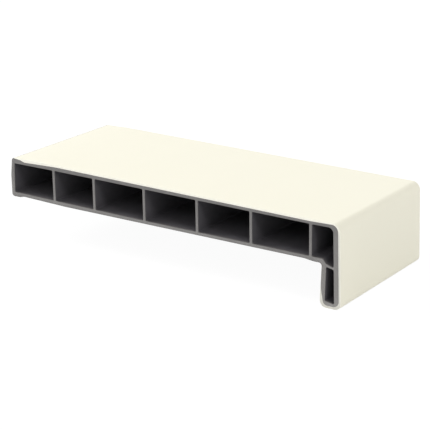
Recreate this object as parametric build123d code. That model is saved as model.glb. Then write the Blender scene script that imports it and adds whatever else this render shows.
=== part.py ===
"""Hollow-chamber window board with a down-turned nose, cut to a short length.

The board is one plastic extrusion with six plain chambers, a taller chamber over the nose and a narrow one
in it. A thinner capping layer in the finished colour covers the top, the front and the nose. The underside is
level and the top falls a little towards the nose.

X runs along the extrusion, the nose faces -Y and the rear edge +Y. The origin is under the middle of the
board, on the level of the nose's lowest line.
"""
from build123d import *
import os
from itertools import chain, repeat

# Overall sizes, in millimetres; both thicknesses are from the underside to the line of the finished top
BOARD_LENGTH = 78.7
BOARD_DEPTH = 200.0
REAR_THICKNESS = 21.7
FRONT_THICKNESS = 19.5
NOSE_DROP = 22.2
NOSE_THICKNESS = 9.9
NOSE_LEAN = 0.95

# Walls of the extrusion; the floor and the ceiling of the chambers are thicker towards the rear
TOP_WALL_REAR = 2.1
TOP_WALL_FRONT = 1.3
BOTTOM_WALL = 1.65
FLOOR_RISE = 0.8
FLOOR_RISE_DEPTH = 80.0
CEILING_DIP = 0.4
CEILING_DIP_DEPTH = 40.0
REAR_WALL = 2.1
REAR_WALL_LEAN = 0.65
FRONT_WALL = 2.6
WEB = 1.5
NOSE_ROOT_WALL = 2.4
NOSE_BACK_WALL = 2.25
TOE_WALL = 1.3
CHAMBER_CORNER = 0.6

# Plain chambers, counted from the rear wall; the last width repeats on a deeper board
CHAMBER_WIDTHS = (26.5, 24.9, 30.2, 30.5, 29.7)
NARROWEST_CHAMBER = 20.0
NOSE_CHAMBER_WIDTH = 11.6

# Rear edge: a lip that leans in, a shoulder and a groove that fill with capping, a foot and a hollow
LIP_SETBACK = 1.15
LIP_LEAN_HEIGHT = 9.7
LIP_DROP = 0.55
LIP_CORNER = 1.5
SHOULDER_FROM_REAR = 7.0
SHOULDER_DROP = 0.65
SHOULDER_BLEND = 4.0
GROOVE_FROM_REAR = 9.6
GROOVE_DEPTH = 0.95
GROOVE_END = 31.0
GROOVE_BLEND = 5.0
FOOT_WIDTH = 5.4
FOOT_RAMP = 2.8
FOOT_CORNER = 1.6
FOOT_RAMP_CORNER = 0.6
HOLLOW_DEPTH = 0.7
HOLLOW_END = 36.0
HOLLOW_BLEND = 3.0

# Front edge: the extrusion rises a little into the capping before both round into the front
CROWN_RISE = 0.6
CROWN_WIDTH = 16.0
CORE_CORNER = 3.4
FINISHED_CORNER = 4.2
SLIGHT_BLEND = 20.0

# Nose: dropped root under the slab, flared back, rounded toe; heights are from the nose's lowest line
ROOT_DROP = 0.6
ROOT_WIDTH = 4.8
ROOT_RAMP = 4.5
ROOT_FILLET = 1.5
NOSE_FLARE = 0.45
FLARE_HEIGHT = 9.8
TOE_TAPER = 1.6
TOE_CORNER = 2.4
TOE_FRONT_CORNER = 3.2
TOE_CHAMBER_SLOPE = 0.9

# Sloping web that parts the two nose chambers, with the shelf and the steep fall that lead down to it
SHELF_WIDTH = 0.6
SHELF_BLEND = 1.5
SLOPE_DROP = 3.5
SLOPE_FALL = 1.35
SLOPE_WEB = 0.95
ROOF_DROP = 0.85
NOSE_CEILING_RISE = 0.2
NOSE_CEILING_CORNER = 2.6

# Capping layer; it thins out over the lip at the rear and on the back of the nose
CAPPING = 1.0
CAPPING_UNDER_TOE = 1.25
ROLL_WIDTH = 16.0
WRAP_BULGE = 0.45
WRAP_SHOULDER = 5.8
WRAP_HEIGHT = 11.5
WRAP_BLEND = 4.0
WRAP_CORNER = 3.4

# Section lines: depths run forward from the rear edge, heights run up from the level underside
toe = -NOSE_DROP
core_toe = toe + CAPPING_UNDER_TOE


def top_at(depth):
    """Height of the finished top's straight fall at a depth."""
    return REAR_THICKNESS - (REAR_THICKNESS - FRONT_THICKNESS) * depth / BOARD_DEPTH


def ceiling_at(depth):
    """Height of the chambers' ceiling, under a top wall that thins towards the front and dips at the rear."""
    wall = TOP_WALL_REAR - (TOP_WALL_REAR - TOP_WALL_FRONT) * depth / BOARD_DEPTH
    dip = CEILING_DIP * max(0, 1 - depth / CEILING_DIP_DEPTH)
    return top_at(depth) - CAPPING - wall - dip


def floor_at(depth):
    """Height of the chambers' floor, raised towards the rear."""
    return BOTTOM_WALL + FLOOR_RISE * max(0, 1 - depth / FLOOR_RISE_DEPTH)


def front_at(height):
    """Depth of the finished front face, which leans out towards its toe."""
    return BOARD_DEPTH - NOSE_LEAN * (height - toe) / (FRONT_THICKNESS - toe)


def core_front_at(height):
    """Depth of the extrusion's own front face behind the capping."""
    return front_at(height) - CAPPING


def front_inside_at(height):
    """Depth of the inner face of the front wall."""
    return core_front_at(height) - FRONT_WALL


lip_top = top_at(0) - LIP_DROP
nose_back = front_at(0) - NOSE_THICKNESS
flared_back = nose_back - NOSE_FLARE
nose_web_front = front_inside_at(BOTTOM_WALL) - NOSE_CHAMBER_WIDTH
nose_web_rear = nose_web_front - WEB
slope_foot = BOTTOM_WALL - SLOPE_DROP
roof_front = slope_foot - SLOPE_WEB
crown_start = front_at(FRONT_THICKNESS) - CROWN_WIDTH
crown_top = FRONT_THICKNESS - CAPPING + CROWN_RISE

SECTION = Plane(origin=(BOARD_LENGTH / 2, BOARD_DEPTH / 2, NOSE_DROP), x_dir=(0, -1, 0), z_dir=(-1, 0, 0))


def outline(*corners):
    """Closed face from corners of the section, each given as depth, height and fillet radius."""
    points = [(depth, height) for depth, height, radius in corners]
    radii = [radius for depth, height, radius in corners]
    return make_face(FilletPolyline(*points, radius=radii, close=True))


def core_outline():
    """Outer line of the extrusion, from the rear foot forward, round the nose and back over the top."""
    return outline(
        (0, 0, FOOT_CORNER),
        (FOOT_WIDTH, 0, FOOT_RAMP_CORNER),
        (FOOT_WIDTH + FOOT_RAMP, HOLLOW_DEPTH, HOLLOW_BLEND),
        (HOLLOW_END, 0, SLIGHT_BLEND),
        (nose_back - ROOT_WIDTH - ROOT_RAMP, 0, SLIGHT_BLEND),
        (nose_back - ROOT_WIDTH, -ROOT_DROP, SLIGHT_BLEND),
        (nose_back, -ROOT_DROP, ROOT_FILLET),
        (flared_back, toe + FLARE_HEIGHT, SLIGHT_BLEND),
        (flared_back + TOE_TAPER, core_toe, TOE_CORNER),
        (core_front_at(core_toe), core_toe, TOE_FRONT_CORNER),
        (core_front_at(crown_top), crown_top, CORE_CORNER),
        (crown_start, top_at(crown_start) - CAPPING, SLIGHT_BLEND),
        (GROOVE_END, top_at(GROOVE_END) - CAPPING, SLIGHT_BLEND),
        (GROOVE_FROM_REAR, top_at(GROOVE_FROM_REAR) - CAPPING - GROOVE_DEPTH, GROOVE_BLEND),
        (SHOULDER_FROM_REAR, lip_top - SHOULDER_DROP, SHOULDER_BLEND),
        (LIP_SETBACK, lip_top, LIP_CORNER),
        (0, lip_top - LIP_LEAN_HEIGHT, SLIGHT_BLEND),
    )


def chamber_spans():
    """Rear and front depths of the plain chambers; a web that would crowd the nose web is left out."""
    spans = []
    rear = REAR_WALL
    for width in chain(CHAMBER_WIDTHS, repeat(CHAMBER_WIDTHS[-1])):
        front = rear + width
        if front + WEB + NARROWEST_CHAMBER > nose_web_rear:
            break
        spans.append((rear, front))
        rear = front + WEB
    spans.append((rear, nose_web_rear))
    return spans


def plain_chamber(rear, front, lean=0):
    """Four-cornered chamber of the slab between two walls; its rear wall may lean in at the ceiling."""
    return outline(
        (rear, floor_at(rear), CHAMBER_CORNER),
        (front, floor_at(front), CHAMBER_CORNER),
        (front, ceiling_at(front), CHAMBER_CORNER),
        (rear + lean, ceiling_at(rear), CHAMBER_CORNER),
    )


def nose_chamber():
    """Taller chamber over the nose; its floor falls from a shelf to the sloping web."""
    front_ceiling = ceiling_at(BOARD_DEPTH) + NOSE_CEILING_RISE
    return outline(
        (nose_web_front, BOTTOM_WALL, CHAMBER_CORNER),
        (nose_back + SHELF_WIDTH, BOTTOM_WALL, SHELF_BLEND),
        (nose_back + NOSE_ROOT_WALL, slope_foot + SLOPE_FALL, CHAMBER_CORNER),
        (front_inside_at(slope_foot), slope_foot, CHAMBER_CORNER),
        (front_inside_at(front_ceiling), front_ceiling, NOSE_CEILING_CORNER),
        (nose_web_front, ceiling_at(nose_web_front), CHAMBER_CORNER),
    )


def toe_chamber():
    """Narrow chamber inside the nose, a little wider at its floor than at its roof."""
    floor = core_toe + TOE_WALL
    return outline(
        (flared_back + NOSE_BACK_WALL, floor + TOE_CHAMBER_SLOPE, CHAMBER_CORNER),
        (front_inside_at(floor), floor, CHAMBER_CORNER),
        (front_inside_at(roof_front), roof_front, CHAMBER_CORNER),
        (nose_back + NOSE_ROOT_WALL, roof_front + ROOF_DROP, CHAMBER_CORNER),
    )


def capping_outline():
    """Outer line of the capping, closed through the extrusion."""
    rear_end = LIP_SETBACK + LIP_CORNER
    wrap_back = flared_back - WRAP_BULGE
    run_out = WRAP_BULGE / (WRAP_HEIGHT - WRAP_SHOULDER)
    buried = (NOSE_DROP - WRAP_HEIGHT) / 2
    return outline(
        (rear_end, top_at(rear_end) / 2, 0),
        (nose_back + NOSE_ROOT_WALL / 2, top_at(nose_back) / 2, 0),
        (flared_back + run_out * buried, toe + WRAP_HEIGHT + buried, 0),
        (wrap_back, toe + WRAP_SHOULDER, WRAP_BLEND),
        (wrap_back, toe, WRAP_CORNER),
        (BOARD_DEPTH, toe, TOE_FRONT_CORNER + CAPPING),
        (front_at(FRONT_THICKNESS), top_at(front_at(FRONT_THICKNESS)), FINISHED_CORNER),
        (ROLL_WIDTH, top_at(ROLL_WIDTH), SLIGHT_BLEND),
        (rear_end, lip_top, 0),
    )


def extruded(section):
    """The section drawn out over the length of the board."""
    return extrude(SECTION * section, amount=BOARD_LENGTH)


core = core_outline()
spans = chamber_spans()
hollow = core - nose_chamber() - toe_chamber() - plain_chamber(*spans[0], lean=REAR_WALL_LEAN)
for rear, front in spans[1:]:
    hollow -= plain_chamber(rear, front)

os.makedirs("parts", exist_ok=True)
export_step(extruded(hollow), "parts/hollow_profile.step")
export_step(extruded(capping_outline() - core), "parts/cream_capping.step")
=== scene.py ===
import math
import bmesh
import bpy
from mathutils import Matrix, Vector


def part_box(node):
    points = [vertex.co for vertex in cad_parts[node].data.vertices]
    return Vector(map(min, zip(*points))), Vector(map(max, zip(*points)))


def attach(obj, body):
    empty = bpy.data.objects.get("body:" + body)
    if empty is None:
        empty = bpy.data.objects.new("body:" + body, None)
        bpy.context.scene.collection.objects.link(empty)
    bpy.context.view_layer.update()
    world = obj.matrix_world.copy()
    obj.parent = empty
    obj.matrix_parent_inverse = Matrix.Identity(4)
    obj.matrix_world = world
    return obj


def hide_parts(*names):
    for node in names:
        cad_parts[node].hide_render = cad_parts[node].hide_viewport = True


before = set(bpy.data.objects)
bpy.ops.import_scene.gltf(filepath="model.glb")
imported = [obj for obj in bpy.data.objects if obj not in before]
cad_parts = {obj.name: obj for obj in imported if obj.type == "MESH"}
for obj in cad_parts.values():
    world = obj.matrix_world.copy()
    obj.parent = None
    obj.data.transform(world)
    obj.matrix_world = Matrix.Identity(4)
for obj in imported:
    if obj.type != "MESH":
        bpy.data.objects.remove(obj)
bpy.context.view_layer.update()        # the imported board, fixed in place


# The board's grey body is one run of hard PVC with its webs and chambers, pushed hot through a die.
# Its skin is dark and satin and keeps the die's fine lines. A saw cut it off square at both ends and left
# paler, scratched faces with the sharpest edge just broken. Their grey is painted paler towards
# the bottom, as painted light.
MM = 0.001
SAWN_EDGE = 0.16 * MM
EDGE_RINGS = 3
FACET_STEPS = 3
STRAIGHT_RUN = 2.2 * MM
HOLD = 0.25 * MM
SHARP_TURN = math.radians(32)
SMOOTH_TURN = math.radians(50)
EDGE_FADE = 0.35 * MM
STATION_GAP = 9.0 * MM
MESH_TOUCH = 0.001 * MM
HALF_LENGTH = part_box("hollow_profile")[1].x


def sawn_outlines(node):
    """Outlines of a node's sawn end as (y, z) points: the outer one anticlockwise, its holes clockwise."""
    shape = bmesh.new()
    shape.from_mesh(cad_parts[node].data)
    bmesh.ops.remove_doubles(shape, verts=shape.verts, dist=MESH_TOUCH)
    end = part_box(node)[1].x - MESH_TOUCH
    sawn = {face for face in shape.faces if all(v.co.x > end for v in face.verts)}
    beside = {}
    for edge in shape.edges:
        if sum(face in sawn for face in edge.link_faces) == 1:
            first, second = edge.verts
            beside.setdefault(first, []).append(second)
            beside.setdefault(second, []).append(first)
    outlines = []
    while beside:
        start = next(iter(beside))
        walked, vertex = [], start
        while vertex in beside:
            walked.append(Vector((vertex.co.y, vertex.co.z)))
            onward = [v for v in beside.pop(vertex) if v in beside]
            vertex = onward[0] if onward else start
        outlines.append(walked)
    shape.free()
    outlines.sort(key=lambda points: -abs(turned_area(points)))
    wanted = [1] + [-1] * (len(outlines) - 1)
    return [p if turned_area(p) * sign > 0 else p[::-1] for p, sign in zip(outlines, wanted)]


def turned_area(points):
    """Area inside closed (y, z) points, positive where they run anticlockwise."""
    pairs = zip(points, points[1:] + points[:1])
    return sum(a.x * b.y - b.x * a.y for a, b in pairs) / 2


def eased(points):
    """The same outline, with the facets of its corners divided on their arcs and its straight runs held."""
    count = len(points)
    run = [points[(i + 1) % count] - points[i] for i in range(count)]
    heading = []
    for i in range(count):
        back, ahead = run[i - 1], run[i]
        if abs(back.angle_signed(ahead)) > SHARP_TURN:
            heading.append(None)
        elif back.length > STRAIGHT_RUN or ahead.length > STRAIGHT_RUN:
            heading.append(max(back, ahead, key=lambda r: r.length).normalized())
        else:
            heading.append((back.normalized() + ahead.normalized()).normalized())
    result = []
    for i in range(count):
        here, there, length = points[i], points[(i + 1) % count], run[i].length
        leave, arrive = heading[i], heading[(i + 1) % count]
        result.append(here.copy())
        if length > STRAIGHT_RUN:
            result += [here + run[i].normalized() * HOLD, there - run[i].normalized() * HOLD]
        elif leave is not None and arrive is not None:
            for step in range(1, FACET_STEPS):
                t = step / FACET_STEPS
                bow = (t - 2 * t * t + t ** 3) * leave + (t ** 3 - t * t) * arrive
                result.append(here.lerp(there, 3 * t * t - 2 * t ** 3) + bow * length)
    return result


def outward(points):
    """Direction out of the material at each point of an outline."""
    count = len(points)
    result = []
    for i in range(count):
        back = (points[i] - points[i - 1]).normalized()
        ahead = (points[(i + 1) % count] - points[i]).normalized()
        along = back + ahead
        result.append(Vector((along.y, -along.x)).normalized())
    return result


def gap_to(point, outline):
    """Shortest distance from a point to a closed outline."""
    best = math.inf
    for a, b in zip(outline, outline[1:] + outline[:1]):
        along = b - a
        t = max(0.0, min(1.0, (point - a).dot(along) / max(along.length_squared, 1e-18)))
        best = min(best, (point - a - along * t).length)
    return best


def stations():
    """Places along the length between the sawn faces, each with its share of the broken edge's rounding."""
    turns = [math.pi / 2 * i / (EDGE_RINGS - 1) for i in range(EDGE_RINGS)]
    ends = [(HALF_LENGTH - SAWN_EDGE * (1 - math.sin(turn)), 1 - math.cos(turn)) for turn in turns]
    inner = HALF_LENGTH - SAWN_EDGE - HOLD
    divisions = round(2 * inner / STATION_GAP)
    middle = [(-inner + 2 * inner * i / divisions, 0.0) for i in range(divisions + 1)]
    return [(-x, inset) for x, inset in reversed(ends)] + middle + ends


def drawn_piece(name, outlines, breaks, skin, sawn):
    """Mesh drawn along the length through outlines, with broken edges and filled, sawn end faces."""
    shape = bmesh.new()
    rims = {0: [], -1: []}
    rings = stations()
    for outline, shares in zip(outlines, breaks):
        normals = outward(outline)
        rows = []
        for x, inset in rings:
            moved = [p - n * (inset * SAWN_EDGE * share) for p, n, share in zip(outline, normals, shares)]
            rows.append([shape.verts.new((x, p.x, p.y)) for p in moved])
        count = len(outline)
        for near, far in zip(rows, rows[1:]):
            for i in range(count):
                face = shape.faces.new((near[i], near[(i + 1) % count], far[(i + 1) % count], far[i]))
                face.smooth = True
        for end in rims:
            ring = rows[end]
            rims[end] += [shape.edges.get((ring[i], ring[(i + 1) % count])) for i in range(count)]
    for end, edges in rims.items():
        filled = bmesh.ops.triangle_fill(shape, use_beauty=True, use_dissolve=False, edges=edges)
        for face in filled["geom"]:
            if isinstance(face, bmesh.types.BMFace):
                face.material_index = 1
                face.smooth = False
    bmesh.ops.recalc_face_normals(shape, faces=shape.faces)
    mesh = bpy.data.meshes.new(name)
    shape.to_mesh(mesh)
    shape.free()
    mesh.set_sharp_from_angle(angle=SMOOTH_TURN)
    mesh.materials.append(skin)
    mesh.materials.append(sawn)
    piece = bpy.data.objects.new(name, mesh)
    bpy.context.scene.collection.objects.link(piece)
    return piece


def put(tree, kind, sockets=None, **settings):
    """A shader node with its settings; a socket takes a plain value or another node's output."""
    node = tree.nodes.new("ShaderNode" + kind)
    for name, value in settings.items():
        setattr(node, name, value)
    for name, value in (sockets or {}).items():
        if isinstance(value, bpy.types.NodeSocket):
            tree.links.new(value, node.inputs[name])
        else:
            node.inputs[name].default_value = value
    return node


def maths(tree, operation, *values, clamp=False):
    """Output of a Math node for these values or links."""
    return put(tree, "Math", dict(enumerate(values)), operation=operation, use_clamp=clamp).outputs[0]


def effect(name, inputs, outputs):
    """Empty shader node group with named float inputs and outputs; gives its tree and both ends' sockets."""
    tree = bpy.data.node_groups.new(name, "ShaderNodeTree")
    for label, value in inputs.items():
        socket = tree.interface.new_socket(label, in_out="INPUT", socket_type="NodeSocketFloat")
        socket.default_value = value
    for label in outputs:
        tree.interface.new_socket(label, in_out="OUTPUT", socket_type="NodeSocketFloat")
    return tree, tree.nodes.new("NodeGroupInput").outputs, tree.nodes.new("NodeGroupOutput").inputs


def place(tree):
    """Position on the piece, in metres, apart into its three numbers."""
    return put(tree, "SeparateXYZ", {0: put(tree, "TexCoord").outputs["Object"]}).outputs


def from_end(tree):
    """Distance in from the nearer sawn face."""
    return maths(tree, "SUBTRACT", HALF_LENGTH, maths(tree, "ABSOLUTE", place(tree)[0]))


def speckle(tree, scale, detail=2.0):
    """Noise over the piece, with this many spots to the metre and this much finer detail in them."""
    spot = put(tree, "TexCoord").outputs["Object"]
    return put(tree, "TexNoise", {"Vector": spot, "Scale": scale, "Detail": detail}).outputs["Fac"]


def give_relief(tree, height, result):
    """Sends a 0 to 1 height out of an effect, and the same about nought as its shade."""
    tree.links.new(height, result["Height"])
    tree.links.new(maths(tree, "SUBTRACT", height, 0.5), result["Shade"])


def die_lines_effect():
    """Fine lines that the die draws along the length, with a slower wander of the surface under them."""
    tree, given, result = effect("die_lines", {"Pitch": 0.5 * MM, "Wander": 7 * MM}, ["Height", "Shade"])
    x, y, z = place(tree)
    layers = []
    for label, stretch, detail, share in (("Pitch", 0.004, 2.0, 0.35), ("Wander", 0.05, 1.0, 0.65)):
        across = maths(tree, "DIVIDE", 1.0, given[label])
        along = maths(tree, "MULTIPLY", across, stretch)
        scaled = [maths(tree, "MULTIPLY", v, scale) for v, scale in ((x, along), (y, across), (z, across))]
        spot = put(tree, "CombineXYZ", dict(enumerate(scaled))).outputs[0]
        drawn = put(tree, "TexNoise", {"Vector": spot, "Scale": 1.0, "Detail": detail}).outputs["Fac"]
        layers.append(maths(tree, "MULTIPLY", drawn, share))
    give_relief(tree, maths(tree, "ADD", *layers), result)
    return tree


def saw_marks_effect():
    """Arcs that the saw's teeth leave across both layers, about the place where the blade's centre stood."""
    inputs = {"Pitch": 0.45 * MM, "Centre below": 0.11, "Centre back": 0.03, "Wobble": 2.0, "Wobbles": 60.0}
    tree, given, result = effect("saw_marks", inputs, ["Height", "Shade"])
    x, y, z = place(tree)
    from_y = maths(tree, "SUBTRACT", y, given["Centre back"])
    from_z = maths(tree, "ADD", z, given["Centre below"])
    squares = [maths(tree, "MULTIPLY", side, side) for side in (from_y, from_z)]
    radius = maths(tree, "SQRT", maths(tree, "ADD", *squares))
    wobble = maths(tree, "MULTIPLY", speckle(tree, given["Wobbles"]), given["Wobble"])
    turns = maths(tree, "ADD", maths(tree, "DIVIDE", radius, given["Pitch"]), wobble)
    teeth = put(tree, "TexNoise", {"W": turns, "Scale": 1.0, "Detail": 3.0}, noise_dimensions="1D")
    give_relief(tree, teeth.outputs["Fac"], result)
    return tree


def grain_effect():
    """Fine even grain of the plastic, with a cloudier unevenness of its tone."""
    tree, given, result = effect("plastic_grain", {"Size": 0.25 * MM, "Cloud": 14 * MM}, ["Height", "Shade"])
    fine, broad = (speckle(tree, maths(tree, "DIVIDE", 1.0, given[label])) for label in ("Size", "Cloud"))
    tree.links.new(fine, result["Height"])
    tree.links.new(maths(tree, "SUBTRACT", broad, 0.5), result["Shade"])
    return tree


def rim_effect():
    """Strip of skin beside a sawn face, ragged on its inner side, where the blade's heat turned it paler."""
    tree, given, result = effect("sawn_rim", {"Width": 0.5 * MM, "Tears": 900.0}, ["Mask"])
    ragged = maths(tree, "MULTIPLY", speckle(tree, given["Tears"]), 2.0)
    width = maths(tree, "MULTIPLY", given["Width"], ragged)
    share = maths(tree, "DIVIDE", from_end(tree), width)
    tree.links.new(maths(tree, "SUBTRACT", 1.0, share, clamp=True), result["Mask"])
    return tree


die_lines = die_lines_effect()
saw_marks = saw_marks_effect()
plastic_grain = grain_effect()
sawn_rim = rim_effect()


def finish_of(name, roughness, specular):
    """New material; gives it with its tree and its shader, which has these plain values."""
    material = bpy.data.materials.new(name)
    material.use_nodes = True
    tree = material.node_tree
    shader = tree.nodes["Principled BSDF"]
    shader.inputs["Roughness"].default_value = roughness
    shader.inputs["Specular IOR Level"].default_value = specular
    return material, tree, shader


def use(tree, group, **values):
    """One of the effects placed in a material with its own values; gives its outputs."""
    node = tree.nodes.new("ShaderNodeGroup")
    node.node_tree = group
    for label, value in values.items():
        node.inputs[label].default_value = value
    return node.outputs


def toned(tree, colour, shades):
    """The colour made lighter or darker by shades, each an output about nought with its strength."""
    lift = 1.0
    for shade, strength in shades:
        lift = maths(tree, "MULTIPLY_ADD", shade, strength, lift)
    lifts = put(tree, "CombineXYZ", {0: lift, 1: lift, 2: lift}).outputs[0]
    return put(tree, "VectorMath", {0: colour, 1: lifts}, operation="MULTIPLY").outputs[0]


def blended(tree, share, first, second):
    """Colour that goes from the first to the second as share goes from 0 to 1."""
    node = put(tree, "Mix", {"Factor": share}, data_type="RGBA")
    colour_sockets = [socket for socket in node.inputs if socket.type == "RGBA"]
    for socket, value in zip(colour_sockets, (first, second)):
        if isinstance(value, bpy.types.NodeSocket):
            tree.links.new(value, socket)
        else:
            socket.default_value = (*value, 1.0)
    return next(socket for socket in node.outputs if socket.type == "RGBA")


def relief(tree, shader, layers):
    """Bumps stacked on the shader's normal, each given by its height output and its depth in metres."""
    normal = None
    for height, depth in layers:
        bump = put(tree, "Bump", {"Height": height, "Distance": depth, "Strength": 1.0})
        if normal is not None:
            tree.links.new(normal, bump.inputs["Normal"])
        normal = bump.outputs[0]
    tree.links.new(normal, shader.inputs["Normal"])


CORE_SKIN = (0.092, 0.088, 0.096)
CORE_RIM = (0.20, 0.195, 0.19)
CORE_LINE_DEPTH = 0.03 * MM
CORE_GRAIN_DEPTH = 0.006 * MM
SAWDUST = (0.182, 0.163, 0.149)
DUST_REACH = 3.0 * MM
DUST_SPECKS = 1600.0
DUST_COVER = 2.4
DUST_BARE = 0.7
core_skin, tree, shader = finish_of("core_drawn_skin", roughness=0.66, specular=0.15)
lines = use(tree, die_lines, Pitch=0.6 * MM, Wander=6 * MM)
grain = use(tree, plastic_grain, Size=0.3 * MM, Cloud=11 * MM)
rim = use(tree, sawn_rim, Width=0.3 * MM)
skin = toned(tree, CORE_SKIN, [(lines["Shade"], 0.35), (grain["Shade"], 0.25)])
facing_up = put(tree, "SeparateXYZ", {0: put(tree, "NewGeometry").outputs["Normal"]}).outputs[2]
reach = maths(tree, "SUBTRACT", 1.0, maths(tree, "DIVIDE", from_end(tree), DUST_REACH), clamp=True)
blown = maths(tree, "MULTIPLY", facing_up, maths(tree, "MULTIPLY", reach, reach))
specks = maths(tree, "MULTIPLY_ADD", speckle(tree, DUST_SPECKS, detail=3.0), DUST_COVER, -DUST_BARE)
dusted = blended(tree, maths(tree, "MULTIPLY", blown, specks, clamp=True), skin, SAWDUST)
tree.links.new(blended(tree, rim["Mask"], dusted, CORE_RIM), shader.inputs["Base Color"])
relief(tree, shader, [(lines["Height"], CORE_LINE_DEPTH), (grain["Height"], CORE_GRAIN_DEPTH)])

CORE_SAWN = (0.212, 0.205, 0.200)
CORE_SAWN_PAINTED_LIGHT_LOW = (0.303, 0.291, 0.281)
PAINTED_LIGHT_BELOW = 44.0 * MM
SAW_MARK_DEPTH = 0.04 * MM
CORE_TORN_DEPTH = 0.02 * MM
core_sawn, tree, shader = finish_of("core_sawn_face", roughness=0.72, specular=0.35)
marks = use(tree, saw_marks)
grain = use(tree, plastic_grain, Size=0.18 * MM, Cloud=6 * MM)
# The sawn grey is painted paler towards the bottom: painted light, as if more light reached it from below.
height = maths(tree, "DIVIDE", place(tree)[2], PAINTED_LIGHT_BELOW, clamp=True)
cut = blended(tree, height, CORE_SAWN_PAINTED_LIGHT_LOW, CORE_SAWN)
streaked = toned(tree, cut, [(marks["Shade"], 0.3), (grain["Shade"], 0.35)])
tree.links.new(streaked, shader.inputs["Base Color"])
relief(tree, shader, [(marks["Height"], SAW_MARK_DEPTH), (grain["Height"], CORE_TORN_DEPTH)])

capping_facets = sawn_outlines("cream_capping")[0]
core_outlines = [eased(points) for points in sawn_outlines("hollow_profile")]
core_breaks = [[min(1.0, gap_to(p, capping_facets) / EDGE_FADE) for p in core_outlines[0]]]
core_breaks += [[1.0] * len(points) for points in core_outlines[1:]]
body = drawn_piece("grey_body", core_outlines, core_breaks, core_skin, core_sawn)
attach(body, "root")
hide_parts("hollow_profile")


# The capping is a millimetre of cream PVC run onto the body in the same pass. It covers the top, the front
# and the nose, and thins to nothing over the rear lip and up the back of the nose. Its skin is smooth and
# satin with hardly any grain. Its sawn edge is painted palest under the bright top, a painted light let
# through the layer, and painted duller round the shaded toe, a painted shade.
LAYER_TOUCH = 0.012 * MM
TOE_CORNER_MADE = 4.2 * MM
TOE_CORNER_SEEN = 3.2 * MM


def run_of(points, wanted):
    """The one run of wanted points on a closed outline, in order, and the place where it starts."""
    flags = [wanted(p) for p in points]
    start = next(i for i in range(len(points)) if flags[i] and not flags[i - 1])
    return [points[(start + i) % len(points)] for i in range(sum(flags))], start


def tightened(free):
    """The free side with the round at the toe's front corner brought down from its modelled radius."""
    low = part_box("cream_capping")[0].yz
    centre = low + Vector((TOE_CORNER_MADE, TOE_CORNER_MADE))
    new_centre = low + Vector((TOE_CORNER_SEEN, TOE_CORNER_SEEN))
    result = []
    for p in free:
        if p.x < centre.x and p.y < centre.y:
            p = new_centre + (p - centre).normalized() * TOE_CORNER_SEEN
        result.append(p)
    return result


def capping_line():
    """Outline of the capping: its free side, then the body's own line back along its buried side."""
    whole = eased(capping_facets)
    body_line = core_outlines[0]
    free, start = run_of(whole, lambda p: gap_to(p, body_line) > LAYER_TOUCH)
    ends = whole[start - 1], whole[(start + len(free)) % len(whole)]
    buried, _ = run_of(body_line, lambda p: gap_to(p, whole) < LAYER_TOUCH)
    buried = [p for p in reversed(buried) if min((p - end).length for end in ends) > LAYER_TOUCH]
    return [ends[0]] + tightened(free) + [ends[1]] + buried


CAPPING_CREAM = (0.90, 0.873, 0.73)
# This pale cream serves both the heat-whitened rim beside the cut and the painted light along the top of the
# cut.
CAPPING_PALE_RIM_AND_PAINTED_LIGHT = (0.98, 0.96, 0.85)
CAPPING_LINE_DEPTH = 0.006 * MM
CAPPING_GRAIN_DEPTH = 0.004 * MM
capping_skin, tree, shader = finish_of("capping_skin", roughness=0.42, specular=0.45)
lines = use(tree, die_lines, Pitch=0.9 * MM, Wander=12 * MM)
grain = use(tree, plastic_grain, Size=0.22 * MM, Cloud=30 * MM)
rim = use(tree, sawn_rim, Width=0.35 * MM)
cream = toned(tree, CAPPING_CREAM, [(lines["Shade"], 0.012), (grain["Shade"], 0.012)])
tree.links.new(blended(tree, rim["Mask"], cream, CAPPING_PALE_RIM_AND_PAINTED_LIGHT), shader.inputs["Base Color"])
relief(tree, shader, [(lines["Height"], CAPPING_LINE_DEPTH), (grain["Height"], CAPPING_GRAIN_DEPTH)])


def risen(tree, value, low, high):
    """0 where the value is under low, 1 where it is over high, and smooth between."""
    span = {"Value": value, "From Min": low, "From Max": high}
    return put(tree, "MapRange", span, interpolation_type="SMOOTHSTEP").outputs[0]


CAPPING_CUT = (0.84, 0.83, 0.75)
CAPPING_PAINTED_SHADE = (0.77, 0.75, 0.68)
PAINTED_SHADE_BELOW = 0.5 * MM, 6.0 * MM
PAINTED_LIGHT_ABOVE = 35.0 * MM, 40.0 * MM
CAPPING_TORN_DEPTH = 0.015 * MM
capping_sawn, tree, shader = finish_of("capping_sawn_face", roughness=0.65, specular=0.35)
marks = use(tree, saw_marks)
grain = use(tree, plastic_grain, Size=0.18 * MM, Cloud=6 * MM)
height = place(tree)[2]
# The cut is painted duller low down round the shaded toe (painted shade) and paler near the bright top
# (painted light).
cut_with_painted_shade = blended(tree, risen(tree, height, *PAINTED_SHADE_BELOW), CAPPING_PAINTED_SHADE, CAPPING_CUT)
cut = blended(tree, risen(tree, height, *PAINTED_LIGHT_ABOVE), cut_with_painted_shade, CAPPING_PALE_RIM_AND_PAINTED_LIGHT)
streaked = toned(tree, cut, [(marks["Shade"], 0.08), (grain["Shade"], 0.06)])
tree.links.new(streaked, shader.inputs["Base Color"])
relief(tree, shader, [(marks["Height"], SAW_MARK_DEPTH), (grain["Height"], CAPPING_TORN_DEPTH)])

capping_outline = capping_line()
capping_breaks = [min(1.0, gap_to(p, core_outlines[0]) / (2 * SAWN_EDGE)) for p in capping_outline]
capping = drawn_piece("cream_layer", [capping_outline], [capping_breaks], capping_skin, capping_sawn)
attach(capping, "root")
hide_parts("cream_capping")


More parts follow.
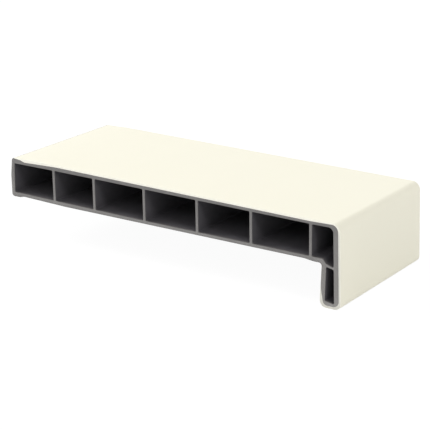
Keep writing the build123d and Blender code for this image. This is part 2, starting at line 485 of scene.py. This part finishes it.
# The board stands on a plain pale floor with nothing else on it. The camera sees the floor and the
# background as clear white with the board's soft shadow, and sees through the floor from underneath.
FLOOR_REACH = 6.0
FLOOR_LEVEL = -0.05 * MM
FLOOR_TONE = (0.86, 0.86, 0.86, 1.0)
FLOOR_GLOW = 1.06
FLOOR_GLOW_SHARE = 0.90
WHITE = (1.0, 1.0, 1.0, 1.0)


def seen_plainly(tree):
    """1 for what the camera, a gloss or a clear material sees, 0 for the light that falls on things."""
    path = put(tree, "LightPath").outputs
    seen = maths(tree, "ADD", path["Is Camera Ray"], path["Is Glossy Ray"])
    return maths(tree, "ADD", seen, path["Is Transmission Ray"], clamp=True)


floor_mesh = bpy.data.meshes.new("pale_floor")
corners = ((-1, -1), (1, -1), (1, 1), (-1, 1))
floor_corners = [(x * FLOOR_REACH, y * FLOOR_REACH, FLOOR_LEVEL) for x, y in corners]
floor_mesh.from_pydata(floor_corners, [], [(0, 1, 2, 3)])
floor = bpy.data.objects.new("pale_floor", floor_mesh)
bpy.context.scene.collection.objects.link(floor)
floor_material = bpy.data.materials.new("pale_floor")
floor_material.use_nodes = True
tree = floor_material.node_tree
tree.nodes.clear()
matt = put(tree, "BsdfDiffuse", {"Color": FLOOR_TONE}).outputs[0]
glow = put(tree, "Emission", {"Color": WHITE, "Strength": FLOOR_GLOW}).outputs[0]
share = maths(tree, "MULTIPLY", seen_plainly(tree), FLOOR_GLOW_SHARE)
mixed = put(tree, "MixShader", {0: share, 1: matt, 2: glow}).outputs[0]
clear = put(tree, "BsdfTransparent").outputs[0]
underneath = put(tree, "NewGeometry").outputs["Backfacing"]
surface = put(tree, "MixShader", {0: underneath, 1: mixed, 2: clear}).outputs[0]
put(tree, "OutputMaterial", {"Surface": surface})
floor_mesh.materials.append(floor_material)


# Soft studio light: a surround that is dimmer in line with the board's open ends than to its sides. A large
# lamp behind lights the top. A weaker one in front reaches a little into the chambers, and a faint one on
# the left falls on their floors.
SURROUND = 0.69
END_DIMMING = 0.94
DIMMING_POWER = 4.0
world = bpy.data.worlds.new("surround")
bpy.context.scene.world = world
world.use_nodes = True
tree = world.node_tree
tree.nodes.clear()
endways = put(tree, "SeparateXYZ", {0: put(tree, "TexCoord").outputs["Generated"]}).outputs[0]
in_line = maths(tree, "POWER", maths(tree, "ABSOLUTE", endways), DIMMING_POWER)
level = maths(tree, "MULTIPLY_ADD", in_line, -END_DIMMING * SURROUND, SURROUND)
light = put(tree, "Background", {"Color": WHITE, "Strength": level}).outputs[0]
white = put(tree, "Background", {"Color": WHITE, "Strength": 1.0}).outputs[0]
mixed = put(tree, "MixShader", {0: seen_plainly(tree), 1: light, 2: white}).outputs[0]
put(tree, "OutputWorld", {"Surface": mixed})

# Each lamp's name, its bearing round from +X, its height, its width in metres and its power in watts
LAMP_DISTANCE = 2.6
LAMPS = (
    ("rear_lamp", math.radians(100), math.radians(36), 1.0, 36.5),
    ("front_lamp", math.radians(247), math.radians(36), 0.7, 12.5),
    ("left_lamp", math.radians(182), math.radians(38), 1.0, 5.0),
)
for name, bearing, height, width, power in LAMPS:
    lamp_data = bpy.data.lights.new(name, "AREA")
    lamp_data.shape = "DISK"
    lamp_data.size = width
    lamp_data.energy = power
    lamp = bpy.data.objects.new(name, lamp_data)
    bpy.context.scene.collection.objects.link(lamp)
    level_way = Vector((math.cos(bearing), math.sin(bearing), 0)) * math.cos(height)
    lamp.location = LAMP_DISTANCE * (level_way + Vector((0, 0, math.sin(height))))
    lamp.rotation_euler = (-lamp.location).to_track_quat("-Z", "Y").to_euler()


# The camera looks down across the open left end and the nose, with a long lens from about three quarters
# of a metre.
CAMERA_AT = (-0.59834, -0.41952, 0.25995)
CAMERA_TURN = math.radians(-55.147)
CAMERA_DROP = math.radians(18.316)
CAMERA_ROLL = math.radians(-0.815)
PICTURE_WIDTH = 430
FOCAL_PIXELS = 1499.2
camera_data = bpy.data.cameras.new("camera")
camera_data.sensor_width = 36.0
camera_data.lens = camera_data.sensor_width * FOCAL_PIXELS / PICTURE_WIDTH
camera_data.clip_start = 0.01
camera_data.clip_end = 50.0
camera = bpy.data.objects.new("camera", camera_data)
bpy.context.scene.collection.objects.link(camera)
turned = Matrix.Rotation(CAMERA_TURN, 4, "Z") @ Matrix.Rotation(math.pi / 2 - CAMERA_DROP, 4, "X")
camera.matrix_world = Matrix.Translation(CAMERA_AT) @ turned @ Matrix.Rotation(CAMERA_ROLL, 4, "Z")
bpy.context.scene.camera = camera
bpy.context.scene.view_settings.view_transform = "Standard"
